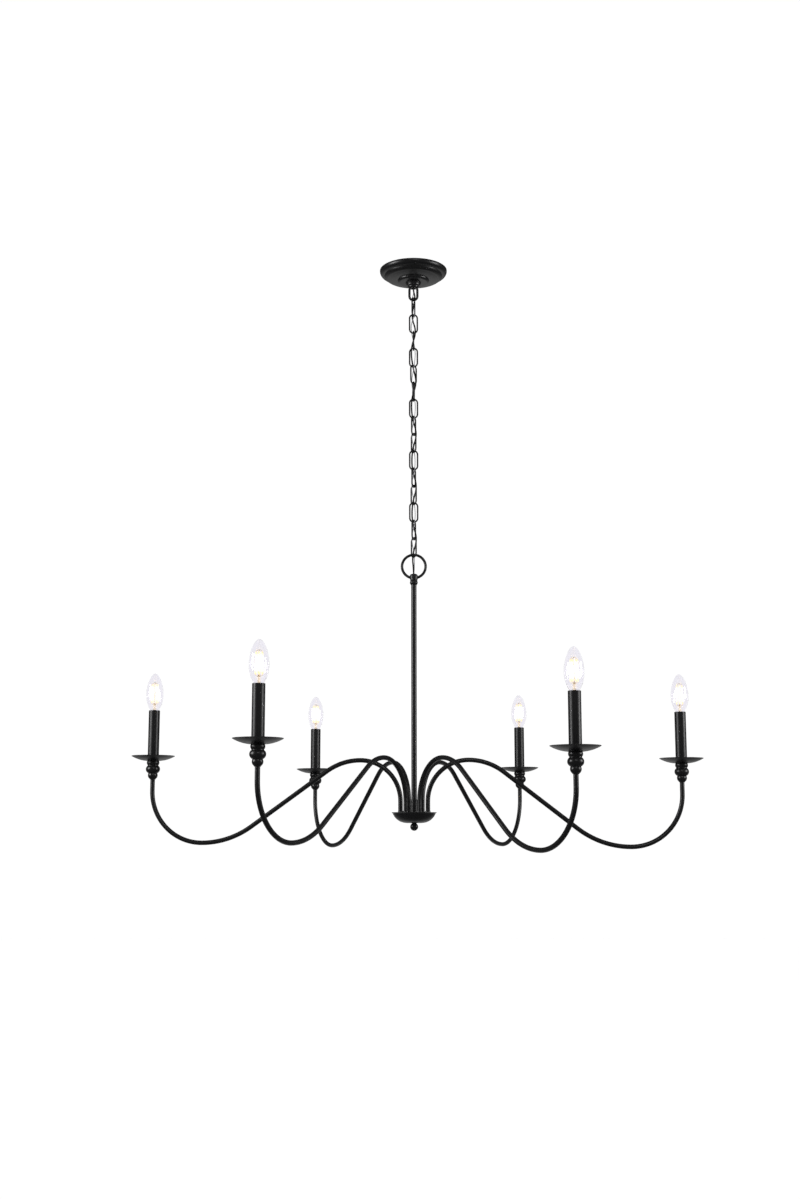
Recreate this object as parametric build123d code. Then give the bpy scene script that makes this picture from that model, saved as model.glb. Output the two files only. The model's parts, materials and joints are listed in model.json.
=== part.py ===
from build123d import *
import math
import os

# A six arm candle chandelier on a chain. The origin is the centre of the ceiling plane, +Z is up, all
# sizes are millimetres, and the object hangs below the plane. Arms are numbered counter-clockwise from
# above, and arm 1 carries its candle over +X. Arm parts are made in a plane through +X and then turned
# into place.

# ---------------------------------------------------------------- overall
CANDLE_RADIUS = 493.0       # from the stem's axis to each candle's axis
ARM_COUNT = 6
ARM_PIVOT_RADIUS = 25.3     # where each arm stands in the hub
HUB_TURN = -8.0             # how far the hub is turned about the stem as hung, degrees
SWIVEL = [8.4, 10.7, 3.1, 1.9, 8.4, 8.4]    # how far each arm is turned on its pivot as hung, degrees
LIFT = [-3.0, -1.0, -3.5, 4.0, 6.5, -5.0]   # how far each hand-bent arm's lower curve stands off nominal

# ---------------------------------------------------------------- ceiling fittings
CANOPY_RADIUS = 65.0
CANOPY_SHEET = 1.0
CANOPY_HOLE = 11.7          # radius of the hole that the loop's barrel comes through
BAR_LENGTH, BAR_WIDTH, BAR_THICK = 106.0, 16.0, 1.6
SLOT_SPACING, SLOT_LENGTH, SLOT_WIDTH = 88.9, 12.0, 4.6
NIPPLE_RADIUS, NIPPLE_BORE = 4.95, 3.3
NIPPLE_TOP, NIPPLE_BOTTOM = -0.3, -22.0
BARREL_RADIUS = 11.0
BARREL_TOP, BARREL_BOTTOM = -12.0, -31.0
COLLAR_TOP, COLLAR_BOTTOM = -25.0, -31.0
LOOP_WIRE, LOOP_WIDTH, LOOP_BOTTOM = 4.6, 20.0, -62.0

# ---------------------------------------------------------------- chain
LINK_WIRE, LINK_WIDTH, LINK_LENGTH = 3.0, 18.0, 40.0
PIVOT_GAP = 0.25            # slack where one body hangs on another
CHAIN_GAP = 0.10            # slack between the links that hang as one run
# Which way each link faces, degrees about the chain's axis, from the top link to the bottom one.
LINK_TURNS = [70, 5, 90, -8, 46, -81, 2, 60, -57, 4, 64, -52, 5, 65, -55]

# ---------------------------------------------------------------- ring, stem and hub
RING_WIRE, RING_RADIUS = 5.0, 22.2
STEM_RADIUS, STEM_BORE = 5.1, 3.9
NECK_BOTTOM = -620.0
STEM_TOP, STEM_BOTTOM = -612.0, -1050.0
CUP_RIM_RADIUS, CUP_RIM, CUP_BOTTOM, CUP_SHEET = 41.2, -1043.0, -1062.6, 1.2
HUB_TOP, HUB_BOTTOM, HUB_RADIUS = -1046.0, -1051.0, 33.0
HUB_COLLAR_TOP, HUB_COLLAR_RADIUS = -1020.0, 7.0
BALL_RADIUS, BALL_CENTRE = 7.3, -1069.2

# ---------------------------------------------------------------- arms
TUBE_RADIUS, TUBE_BORE = 4.25, 3.25
ARM_FOOT = -1052.0
CREST_RADIUS, CREST = 100.6, -947.5     # the arm's highest point, on its centre line
BOTTOM_RADIUS, BOTTOM = 396.7, -1102.5  # its lowest point
CREST_BEND, BOTTOM_BEND = 106.0, 160.0  # bend radii either side of the straight diagonal
ARM_END = -943.0                        # the threaded end, inside the candle sleeve

# ---------------------------------------------------------------- candles
PAN_RADIUS, PAN_RIM, PAN_BOTTOM, PAN_SHEET = 40.3, -941.0, -950.6, 1.0
SLEEVE_RADIUS, SLEEVE_BORE, SLEEVE_TOP = 10.4, 9.5, -856.0
SOCKET_RADIUS, SOCKET_BORE = 8.9, 6.25
SOCKET_TOP, SOCKET_BOTTOM = SLEEVE_TOP - 8.0, SLEEVE_TOP - 37.0
BULB_RADIUS, BULB_TOP, GLASS_WALL = 16.3, SLEEVE_TOP + 72.6, 0.7
CAP_RADIUS = 5.95

# ---------------------------------------------------------------- wires
CORD_RADIUS = 1.5
EARTH_RADIUS = 0.7

LINK_CROWN = (LINK_WIDTH - LINK_WIRE) / 2
LINK_PITCH = LINK_LENGTH - LINK_WIRE
LOOP_CROWN = (LOOP_WIDTH - LOOP_WIRE) / 2
PIVOT_1 = LOOP_BOTTOM + LOOP_WIRE / 2


def turned(start, *steps):
    """A solid turned about Z from a closed outline of (radius, height) points. A step is a corner, or a
    pair of points: the middle and the end of an arc."""
    edges, here = [], start
    for step in steps + (start,):
        if isinstance(step[0], tuple):
            edges.append(ThreePointArc(here, step[0], step[1]))
            here = step[1]
        elif step != here:
            edges.append(Line(here, step))
            here = step
    return Rot(90, 0, 0) * revolve(make_face(edges), Axis.Y)


def spun_sheet(thickness, *edges):
    """A dish spun from sheet: a path of (radius, height) edges given thickness, then turned about Z."""
    return Rot(90, 0, 0) * revolve(make_face(Wire(edges).offset_2d(thickness / 2)), Axis.Y)


def rod(radius, top, bottom, bore=0.0):
    """An upright rod or tube between two heights."""
    solid = Pos(0, 0, bottom) * Cylinder(radius, top - bottom, align=(Align.CENTER, Align.CENTER, Align.MIN))
    if bore:
        solid -= Pos(0, 0, bottom) * Cylinder(bore, top - bottom, align=(Align.CENTER, Align.CENTER, Align.MIN))
    return solid


def hex_nut(across, top, bottom, bore):
    """A plain hexagon nut on the Z axis."""
    blank = Pos(0, 0, bottom) * extrude(RegularPolygon(across / math.sqrt(3), 6), top - bottom)
    return blank - rod(bore, top, bottom)


def stadium_link(wire, crown, pitch, top):
    """A chain link in the XZ plane: two half-round crowns and two straight legs, hung from its top crown's
    centre line at the given height."""
    half = revolve(Pos(crown, 0) * Circle(wire / 2), Axis.Y, 180)
    leg = Cylinder(wire / 2, pitch - 2 * crown)
    upper = Pos(0, 0, pitch / 2 - crown) * Rot(180, 0, 0) * half
    lower = Pos(0, 0, crown - pitch / 2) * half
    return Pos(0, 0, top - pitch / 2) * (upper + lower + Pos(crown, 0, 0) * leg + Pos(-crown, 0, 0) * leg)


def write(name, *solids):
    """Writes one node, as one solid or a group of separate solids."""
    shape = solids[0] if len(solids) == 1 else Compound(children=list(solids))
    shape.label = name
    export_step(shape, f"parts/{name}.step")


# ---------------------------------------------------------------- ceiling plate and canopy
def crossbar():
    """The strap that is screwed to the ceiling box, with a slot near each end."""
    bar = Pos(0, 0, -BAR_THICK / 2) * Box(BAR_LENGTH, BAR_WIDTH, BAR_THICK)
    bar = fillet(bar.edges().filter_by(Axis.Z), 5.0)
    slot = extrude(SlotOverall(SLOT_LENGTH, SLOT_WIDTH), -BAR_THICK)
    for side in (-1, 1):
        bar -= Pos(side * SLOT_SPACING / 2, 0, 0) * slot
    bar -= Pos(24, 0, 0) * rod(1.6, 0, -BAR_THICK)
    return bar - rod(NIPPLE_RADIUS + 0.05, 0, -BAR_THICK)


def ground_screw():
    """The earth screw in the strap, its head below it."""
    head = Pos(24, 0, 0) * rod(3.6, -BAR_THICK, -BAR_THICK - 2.2)
    head -= Pos(24, 0, -BAR_THICK - 2.2) * Box(8, 0.9, 1.6)
    return head + Pos(24, 0, 0) * rod(1.55, -0.2, -BAR_THICK)


def canopy():
    """The spun ceiling cover: three rounded tiers and a centre hole."""
    half = CANOPY_SHEET / 2
    rim = CANOPY_RADIUS - half
    path = [
        Line((rim, 1.0), (rim, -2.0)),
        ThreePointArc((rim, -2.0), (rim - 2.0, -7.0), (rim - 6.5, -9.6)),
        Line((rim - 6.5, -9.6), (rim - 8.6, -10.0)),
        ThreePointArc((rim - 8.6, -10.0), (rim - 11.4, -14.2), (rim - 17.0, -16.6)),
        ThreePointArc((rim - 17.0, -16.6), (rim - 26.0, -18.6), (29.8, -19.4)),
        ThreePointArc((29.8, -19.4), (28.6, -22.6), (25.2, -24.0)),
        Line((25.2, -24.0), (CANOPY_HOLE + half, -25.0 + half)),
    ]
    shell = spun_sheet(CANOPY_SHEET, *path)
    shell -= Pos(0, 0, 2.5) * Cylinder(2 * CANOPY_RADIUS, 5.0)
    return shell - Pos(0, 0, COLLAR_TOP - 2.5) * Cylinder(20.0, 5.0)


def canopy_collar():
    """The threaded ring that holds the canopy up."""
    bore = BARREL_RADIUS + 0.1
    return turned(
        (bore, COLLAR_TOP), (14.6, COLLAR_TOP), ((15.0, COLLAR_TOP - 0.6), (14.6, COLLAR_TOP - 1.3)),
        ((13.2, COLLAR_TOP - 3.6), (12.6, COLLAR_BOTTOM + 0.3)), (12.3, COLLAR_BOTTOM), (bore, COLLAR_BOTTOM),
    )


def canopy_loop():
    """The threaded barrel with the loop that the chain hangs from. The cord comes out of its bore."""
    bore = NIPPLE_RADIUS + 0.05
    barrel = turned(
        (bore, BARREL_TOP), (BARREL_RADIUS - 0.5, BARREL_TOP), (BARREL_RADIUS, BARREL_TOP - 0.5),
        (BARREL_RADIUS, BARREL_BOTTOM + 0.4), ((10.0, BARREL_BOTTOM - 0.6), (9.4, BARREL_BOTTOM - 2.2)),
        ((8.2, BARREL_BOTTOM - 4.2), (6.4, BARREL_BOTTOM - 5.0)), (3.6, BARREL_BOTTOM - 5.0),
        (3.6, NIPPLE_BOTTOM - 0.2), (bore, NIPPLE_BOTTOM - 0.2),
    )
    pitch = BARREL_BOTTOM - 1.0 - PIVOT_1
    eye = stadium_link(LOOP_WIRE, LOOP_CROWN, pitch, PIVOT_1 + pitch)
    return barrel + (eye - rod(6.0, BARREL_TOP, BARREL_BOTTOM - 4.0))


# ---------------------------------------------------------------- chain
def link_tops():
    """Each link's top crown height, from the loop down: every link hangs on the one above it."""
    tops = [LOOP_BOTTOM + LOOP_WIRE + PIVOT_GAP + LINK_WIRE / 2]
    for number in range(2, len(LINK_TURNS) + 1):
        gap = PIVOT_GAP if number in (2, len(LINK_TURNS)) else CHAIN_GAP
        tops.append(tops[-1] - LINK_PITCH + LINK_WIRE + gap)
    return tops


TOPS = link_tops()
RING_TOP = TOPS[-1] - LINK_PITCH + LINK_WIRE / 2 + PIVOT_GAP + RING_WIRE / 2
RING_CENTRE = RING_TOP - RING_RADIUS


def chain_link(number):
    """One link of the chain, counted from 0 at the top."""
    return Rot(0, 0, LINK_TURNS[number]) * stadium_link(LINK_WIRE, LINK_CROWN, LINK_PITCH, TOPS[number])


# ---------------------------------------------------------------- ring, stem and hub
def top_ring():
    """The hanging ring and its turned neck, one casting, drilled for the cord and the stem."""
    ring = Pos(0, 0, RING_CENTRE) * Rot(90, 0, 0) * Torus(RING_RADIUS, RING_WIRE / 2)
    neck = turned(
        (0.0, -599.4), (4.4, -599.4), ((6.6, -600.8), (7.6, -603.4)), ((7.3, -607.5), (6.9, -611.2)),
        (6.5, -612.6), ((7.4, -616.0), (6.2, -619.2)), (5.7, NECK_BOTTOM), (0.0, NECK_BOTTOM),
    )
    casting = ring + neck
    casting -= rod(CORD_RADIUS + 0.8, -590.0, STEM_TOP - 1.0)
    return casting - rod(STEM_RADIUS + 0.02, STEM_TOP, NECK_BOTTOM - 1.0)


def stem_tube():
    """The long straight tube between the ring and the hub."""
    return rod(STEM_RADIUS, STEM_TOP, STEM_BOTTOM, STEM_BORE)


def around(shape):
    """The six places of a shape that stands on an arm's pivot, in the hub."""
    return [Rot(0, 0, HUB_TURN + 60.0 * n) * Pos(ARM_PIVOT_RADIUS, 0, 0) * shape for n in range(ARM_COUNT)]


def hub_body():
    """The plate that carries the arms, with the collar that the stem screws into."""
    body = turned(
        (STEM_RADIUS + 0.02, HUB_COLLAR_TOP), (HUB_COLLAR_RADIUS - 0.6, HUB_COLLAR_TOP),
        (HUB_COLLAR_RADIUS, HUB_COLLAR_TOP - 1.0), (HUB_COLLAR_RADIUS, HUB_TOP + 3.0),
        ((7.9, HUB_TOP + 0.8), (10.0, HUB_TOP)), (HUB_RADIUS, HUB_TOP), (HUB_RADIUS, HUB_BOTTOM),
        (STEM_RADIUS + 0.02, HUB_BOTTOM),
    )
    for hole in around(rod(TUBE_RADIUS + 0.05, HUB_TOP, HUB_BOTTOM)):
        body -= hole
    return body


def arm_bushes():
    """Six flared feet, one round each arm where it stands on the plate."""
    bush = turned(
        (TUBE_RADIUS + 0.05, HUB_TOP + 5.5), (TUBE_RADIUS + 0.6, HUB_TOP + 5.5),
        ((5.4, HUB_TOP + 2.4), (6.6, HUB_TOP + 0.8)), (6.6, HUB_TOP), (TUBE_RADIUS + 0.05, HUB_TOP),
    )
    return around(bush)


def hub_cup():
    """The shallow bowl under the hub."""
    half = CUP_SHEET / 2
    rim, floor = CUP_RIM - half, CUP_BOTTOM + half
    path = [
        Line((CUP_RIM_RADIUS - half, rim), (38.9, rim - 1.0)),
        ThreePointArc((38.9, rim - 1.0), (31.8, -1055.0), (21.0, -1060.8)),
        ThreePointArc((21.0, -1060.8), (16.0, -1061.7), (11.0, floor)),
        Line((11.0, floor), (3.4, floor)),
    ]
    return spun_sheet(CUP_SHEET, *path)


def ball_finial():
    """The ball under the bowl, with the threaded stud that holds the bowl up."""
    ball = Pos(0, 0, BALL_CENTRE) * Sphere(BALL_RADIUS)
    return ball + rod(4.2, CUP_BOTTOM, BALL_CENTRE + 4.0) + rod(2.6, STEM_BOTTOM + 4.0, CUP_BOTTOM)


def stem_nut():
    """The nut that closes the stem's end under the plate and takes the ball's stud."""
    return hex_nut(13.0, HUB_BOTTOM, HUB_BOTTOM - 5.0, 2.65)


# ---------------------------------------------------------------- arms
def arm_path(lift):
    """The arm's centre line: up from the hub, over the crest, down a straight diagonal, round the low bend
    and up to the candle. The diagonal touches both bends, which gives its slope in closed form."""
    rise = CREST_RADIUS - ARM_PIVOT_RADIUS
    turn_up = CANDLE_RADIUS - BOTTOM_RADIUS
    low = BOTTOM + lift
    bends = CREST_BEND + BOTTOM_BEND
    across, down = BOTTOM_RADIUS - CREST_RADIUS, low - CREST + bends
    slope = math.asin(bends / math.hypot(across, down)) - math.atan2(down, across)

    def on_bend(centre, radius, angle):
        return (centre[0] + radius * math.cos(angle), centre[1] + radius * math.sin(angle))

    first, crest, second = (CREST_RADIUS, CREST - rise), (CREST_RADIUS, CREST), (CREST_RADIUS, CREST - CREST_BEND)
    third, bottom, last = (BOTTOM_RADIUS, low + BOTTOM_BEND), (BOTTOM_RADIUS, low), (BOTTOM_RADIUS, low + turn_up)
    up, quarter = math.pi / 2, math.pi / 4
    line_start = on_bend(second, CREST_BEND, up - slope)
    line_end = on_bend(third, BOTTOM_BEND, -up - slope)
    foot, shoulder = (ARM_PIVOT_RADIUS, ARM_FOOT), (ARM_PIVOT_RADIUS, CREST - rise)
    upright, tip = (CANDLE_RADIUS, low + turn_up), (CANDLE_RADIUS, ARM_END + lift)
    edges = [
        Line(foot, shoulder),
        ThreePointArc(shoulder, on_bend(first, rise, up + quarter), crest),
        ThreePointArc(crest, on_bend(second, CREST_BEND, up - slope / 2), line_start),
        Line(line_start, line_end),
        ThreePointArc(line_end, on_bend(third, BOTTOM_BEND, -up - slope / 2), bottom),
        ThreePointArc(bottom, on_bend(last, turn_up, -quarter), upright),
        Line(upright, tip),
    ]
    return Rot(90, 0, 0) * Wire(edges)


def arm_tube(lift):
    """The bent steel tube of one arm."""
    path = arm_path(lift)
    ring = Circle(TUBE_RADIUS) - Circle(TUBE_BORE)
    return sweep(Plane(origin=path @ 0, z_dir=path % 0) * ring, path)


def candle_cup():
    """The turned holder under the drip pan: a collar, a large bead and a small bead."""
    bore, top = TUBE_RADIUS + 0.05, PAN_BOTTOM
    return turned(
        (bore, top), (10.8, top), ((11.7, top - 2.8), (10.0, top - 8.0)), (10.0, top - 9.0),
        ((13.2, top - 15.6), (8.9, top - 22.6)), (8.4, top - 23.6), ((8.9, top - 28.6), (5.6, top - 33.6)),
        (5.4, top - 34.6), (bore, top - 34.6),
    )


def drip_pan():
    """The thin dished pan."""
    half = PAN_SHEET / 2
    rim, floor = (PAN_RADIUS - half, PAN_RIM - half), (12.0, PAN_BOTTOM + half)
    path = [ThreePointArc(rim, (28.0, -946.9), floor), Line(floor, (TUBE_RADIUS + 0.7, PAN_BOTTOM + half))]
    return spun_sheet(PAN_SHEET, *path)


def candle_sleeve():
    """The tube that looks like the candle, standing on the pan."""
    return rod(SLEEVE_RADIUS, SLEEVE_TOP, PAN_BOTTOM + PAN_SHEET, SLEEVE_BORE)


def socket():
    """The lamp holder: a screw-shell body on a steel leg whose foot screws down on the arm's end."""
    floor = PAN_BOTTOM + PAN_SHEET
    body = turned(
        (SOCKET_BORE, SOCKET_TOP), (SOCKET_RADIUS - 0.8, SOCKET_TOP), (SOCKET_RADIUS, SOCKET_TOP - 0.8),
        (SOCKET_RADIUS, SOCKET_BOTTOM + 9.0), (SOCKET_RADIUS - 1.2, SOCKET_BOTTOM + 7.0),
        (SOCKET_RADIUS - 1.2, SOCKET_BOTTOM), (0.0, SOCKET_BOTTOM), (0.0, SOCKET_TOP - 20.5),
        (SOCKET_BORE, SOCKET_TOP - 20.5),
    )
    leg = Pos(7.6, 0, (SOCKET_BOTTOM + 6.0 + floor) / 2) * Box(1.2, 6.0, SOCKET_BOTTOM + 6.0 - floor)
    foot = rod(8.2, floor + 5.0, floor, TUBE_RADIUS + 0.05)
    return body + leg + foot


def bulb_form(wall):
    """The inside of the bulb's glass at a wall's depth, or its outside at no depth, as a solid."""
    base = SLEEVE_TOP
    return turned(
        (0.0, base - 6.0 + wall), (7.2 - wall, base - 6.0 + wall), (9.2 - wall, base + 0.6),
        ((14.6 - wall, base + 13.0), (BULB_RADIUS - wall, base + 28.0)),
        ((14.4 - wall, base + 47.0), (7.9 - wall, base + 64.0)),
        ((4.8 - wall, base + 69.8 - wall / 2), (1.0, BULB_TOP - wall)), (0.0, BULB_TOP - wall),
    )


def bulb_glass():
    """The clear candle-shaped envelope, a closed thin wall, with its neck inside the sleeve."""
    return bulb_form(0.0) - bulb_form(GLASS_WALL)


def bulb_base():
    """The bulb's screw cap, its insulator and contact button."""
    top = SLEEVE_TOP - 6.0
    profile = [(0.0, top), (7.0, top), (7.0, top - 1.6)]
    turns = 5
    for number in range(turns):
        crest = top - 3.0 - 2.3 * number
        profile += [(CAP_RADIUS - 0.7, crest + 1.15), (CAP_RADIUS, crest)]
    end = top - 3.0 - 2.3 * turns
    profile += [(CAP_RADIUS - 0.7, end + 1.15), (3.6, end - 1.0), (2.2, end - 1.6), (2.0, end - 2.6), (0.0, end - 2.6)]
    return turned(*profile)


# ---------------------------------------------------------------- wires
# The supply cord comes down the barrel's bore, winds in and out of the links, goes in front of the ring's
# top and into the neck. Each corner beside a joint of two links stands in the wider gap between them.
CORD_ROUTE = [
    (-1.2, 0, -1), (-1.2, 0, -38), (4.4, -5.8, -58), (-4.7, 6.1, -91),
    (6.3, -4.0, -125), (-5.7, -4.2, -159), (-1.3, 7.0, -193), (6.8, -1.4, -226),
    (-4.7, -5.8, -260), (-3.0, 6.4, -294), (7.2, 0.2, -328), (-3.2, -6.4, -362),
    (-3.4, 6.2, -396), (7.2, 0.8, -430), (-2.9, -6.6, -464), (-3.4, 6.2, -498),
    (7.2, 0.6, -532), (-3.2, -6.2, -565), (0, 0, -594), (0, 0, -612),
]
# The thin earth wire winds on the other side of the links and ends on the ring's neck.
EARTH_ROUTE = [
    (2.0, 0, -1), (2.0, 0.3, -40), (-3.2, 4.4, -58), (1.5, 3.8, -74), (3.3, -4.4, -91),
    (-4.6, -0.6, -107), (-4.1, 3.9, -125), (4.2, 3.7, -159), (1.8, -5.2, -193),
    (-5.2, 1.6, -226), (3.6, 4.3, -260), (2.8, -4.6, -294), (-5.4, -0.1, -328),
    (2.4, 4.8, -362), (3.0, -4.5, -396), (-5.4, -0.6, -430), (2.2, 5.0, -464),
    (3.1, -4.4, -498), (-5.4, -0.5, -532), (2.6, 5.0, -565), (0.6, 2.6, -594),
]


def wire_tube(name, radius, route):
    """A tube of straight runs and tangent arcs along a route, each arc as large as its runs allow."""
    points = [Vector(*point) for point in route]
    runs = [b - a for a, b in zip(points, points[1:])]
    radii = []
    for before, after in zip(runs, runs[1:]):
        half_turn = math.radians(before.get_angle(after) / 2)
        radii.append(0.45 * min(before.length, after.length) / math.tan(half_turn))
    path = FilletPolyline(*points, radius=radii)
    tube = sweep(Plane(origin=path @ 0, z_dir=path % 0) * Circle(radius), path)
    print(name, "radii", [round(r) for r in radii], "length", round(path.length, 1))
    print(name, "volume", round(tube.volume, 1), "section x length", round(math.pi * radius**2 * path.length, 1))
    return tube


if __name__ == "__main__":
    os.makedirs("parts", exist_ok=True)
    write("crossbar", crossbar())
    write("ground_screw", ground_screw())
    write("ceiling_nipple", rod(NIPPLE_RADIUS, NIPPLE_TOP, NIPPLE_BOTTOM, NIPPLE_BORE))
    write("nipple_nut", hex_nut(15.0, -BAR_THICK, -BAR_THICK - 3.2, NIPPLE_RADIUS + 0.05))
    write("canopy", canopy())
    write("canopy_collar", canopy_collar())
    write("canopy_loop", canopy_loop())
    write("chain_link_top", chain_link(0))
    write("chain_links", *[chain_link(n) for n in range(1, len(LINK_TURNS) - 1)])
    write("chain_link_bottom", chain_link(len(LINK_TURNS) - 1))
    cord = wire_tube("cord", CORD_RADIUS, CORD_ROUTE)
    write("supply_cord", cord, wire_tube("earth wire", EARTH_RADIUS, EARTH_ROUTE))
    write("top_ring", top_ring())
    write("stem_tube", stem_tube())
    write("hub_body", hub_body())
    write("arm_bushes", *arm_bushes())
    write("hub_cup", hub_cup())
    write("ball_finial", ball_finial())
    write("stem_nut", stem_nut())
    for n in range(ARM_COUNT):
        pivot = Pos(ARM_PIVOT_RADIUS, 0, 0)
        place = Rot(0, 0, HUB_TURN + 60.0 * n) * pivot * Rot(0, 0, SWIVEL[n]) * pivot.inverse()
        candle = place * Pos(CANDLE_RADIUS, 0, LIFT[n])
        name = n + 1
        write(f"arm_tube_{name}", place * arm_tube(LIFT[n]))
        write(f"candle_cup_{name}", candle * candle_cup())
        write(f"drip_pan_{name}", candle * drip_pan())
        write(f"candle_sleeve_{name}", candle * candle_sleeve())
        write(f"socket_{name}", candle * socket())
        write(f"bulb_glass_{name}", candle * bulb_glass())
        write(f"bulb_base_{name}", candle * bulb_base())
    print("link tops", [round(t, 2) for t in TOPS], "ring top", round(RING_TOP, 2))
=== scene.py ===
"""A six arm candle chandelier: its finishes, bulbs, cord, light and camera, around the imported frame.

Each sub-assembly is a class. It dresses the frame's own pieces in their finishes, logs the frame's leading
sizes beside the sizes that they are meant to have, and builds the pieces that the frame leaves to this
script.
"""

import json
import logging
import math
from dataclasses import dataclass
from enum import Enum

import bpy
import numpy as np
from numpy.typing import NDArray
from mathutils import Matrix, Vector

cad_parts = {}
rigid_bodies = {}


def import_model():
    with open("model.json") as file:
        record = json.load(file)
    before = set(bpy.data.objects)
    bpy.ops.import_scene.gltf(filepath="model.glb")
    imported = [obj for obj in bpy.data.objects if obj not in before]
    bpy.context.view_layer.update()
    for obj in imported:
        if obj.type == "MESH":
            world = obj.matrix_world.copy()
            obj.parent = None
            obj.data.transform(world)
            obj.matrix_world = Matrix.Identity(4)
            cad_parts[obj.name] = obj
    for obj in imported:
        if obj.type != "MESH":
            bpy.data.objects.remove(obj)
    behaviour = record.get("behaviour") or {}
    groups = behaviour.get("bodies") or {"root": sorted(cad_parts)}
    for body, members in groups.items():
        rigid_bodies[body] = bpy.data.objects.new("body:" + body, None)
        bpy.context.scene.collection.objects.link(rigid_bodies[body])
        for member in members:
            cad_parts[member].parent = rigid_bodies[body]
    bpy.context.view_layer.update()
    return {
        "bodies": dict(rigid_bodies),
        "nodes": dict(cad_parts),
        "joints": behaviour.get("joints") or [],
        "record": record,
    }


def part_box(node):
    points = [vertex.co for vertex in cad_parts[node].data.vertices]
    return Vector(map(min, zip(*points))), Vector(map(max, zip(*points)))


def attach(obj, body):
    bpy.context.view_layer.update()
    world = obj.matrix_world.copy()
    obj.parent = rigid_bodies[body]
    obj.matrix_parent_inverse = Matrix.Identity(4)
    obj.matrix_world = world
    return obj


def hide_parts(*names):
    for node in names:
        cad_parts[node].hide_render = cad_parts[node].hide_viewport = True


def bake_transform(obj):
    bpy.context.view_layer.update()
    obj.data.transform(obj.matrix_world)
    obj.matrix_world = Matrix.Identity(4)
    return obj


Array = NDArray[np.float64]
Faces = list[list[int]]
Surface = tuple[Array, Faces]
Point = tuple[float, float, float]

log = logging.getLogger("chandelier")
MM = 0.001
ARMS = range(1, 7)


class Slot(Enum):
    """The record's material slots that the frame's own nodes are in."""

    PAINT = "black_paint"
    CHAIN = "black_chain"
    ZINC = "zinc_steel"
    SCREW = "ground_screw"
    SLEEVE = "candle_sleeve"
    SOCKET = "socket"
    CAP = "bulb_cap"
    CORD = "cord"
    GLASS = "bulb_glass"


# ---------------------------------------------------------------- surfaces
def profile_curve(points: list[tuple[float, float]], count: int) -> Array:
    """A smooth outline through a few points, evenly spaced along its length.

    It is a Catmull-Rom curve: between two points the height and radius follow the cubic whose slope at
    each point is half the step from the point before to the point after.

    Args:
        points: (radius, height) pairs in order.
        count: how many points come back.

    Returns:
        The outline as an array of (radius, height) rows.
    """
    knots = np.array(points, float)
    ends = np.vstack([2 * knots[0] - knots[1], knots, 2 * knots[-1] - knots[-2]])
    t = np.linspace(0, len(knots) - 1, 16 * len(knots))
    i = np.minimum(t.astype(int), len(knots) - 2)
    u = (t - i)[:, None]
    a, b, c, d = ends[i], ends[i + 1], ends[i + 2], ends[i + 3]
    curve = 0.5 * (2 * b + (c - a) * u + (2 * a - 5 * b + 4 * c - d) * u**2 + (3 * b - a - 3 * c + d) * u**3)
    along = np.concatenate([[0], np.cumsum(np.linalg.norm(np.diff(curve, axis=0), axis=1))])
    even = np.linspace(0, along[-1], count)
    return np.stack([np.interp(even, along, curve[:, k]) for k in (0, 1)], axis=1)


def turned(outline: Array, sides: int) -> Surface:
    """A surface of revolution: each outline point swept round the upright axis.

    The point at angle v and outline place u is (r(u) cos v, r(u) sin v, h(u)). Ends on the axis are single
    points joined by triangles, so the poles are closed.

    Args:
        outline: rows of (radius, height) whose first and last radii are nought, going up.
        sides: how many steps there are round the axis.

    Returns:
        The vertices and the faces.
    """
    rings = outline[1:-1]
    angle = np.linspace(0, 2 * np.pi, sides, endpoint=False)
    r, h = rings[:, :1], rings[:, 1:]
    grid = np.stack([r * np.cos(angle), r * np.sin(angle), h + 0 * angle], axis=2).reshape(-1, 3)
    verts = np.vstack([[0, 0, outline[0, 1]], grid, [0, 0, outline[-1, 1]]])
    return verts, quads(len(rings), sides) + caps(len(rings), sides)


def quads(rows: int, sides: int) -> Faces:
    """The quads between rings of vertices, when vertex 0 is the first pole.

    Args:
        rows: how many rings there are.
        sides: how many vertices a ring has.

    Returns:
        The faces, as four vertex numbers each.
    """
    i, j = np.meshgrid(np.arange(rows - 1), np.arange(sides), indexing="ij")
    k = (j + 1) % sides
    corners = [i * sides + j, i * sides + k, (i + 1) * sides + k, (i + 1) * sides + j]
    return (np.stack(corners, axis=2).reshape(-1, 4) + 1).tolist()


def caps(rows: int, sides: int) -> Faces:
    """The triangles that close the first and last ring on their poles.

    Args:
        rows: how many rings there are.
        sides: how many vertices a ring has.

    Returns:
        The faces, as three vertex numbers each.
    """
    j = np.arange(sides)
    k = (j + 1) % sides
    last = (rows - 1) * sides
    first = np.stack([0 * j, k + 1, j + 1], axis=1)
    end = np.stack([0 * j + rows * sides + 1, last + j + 1, last + k + 1], axis=1)
    return first.tolist() + end.tolist()


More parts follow.
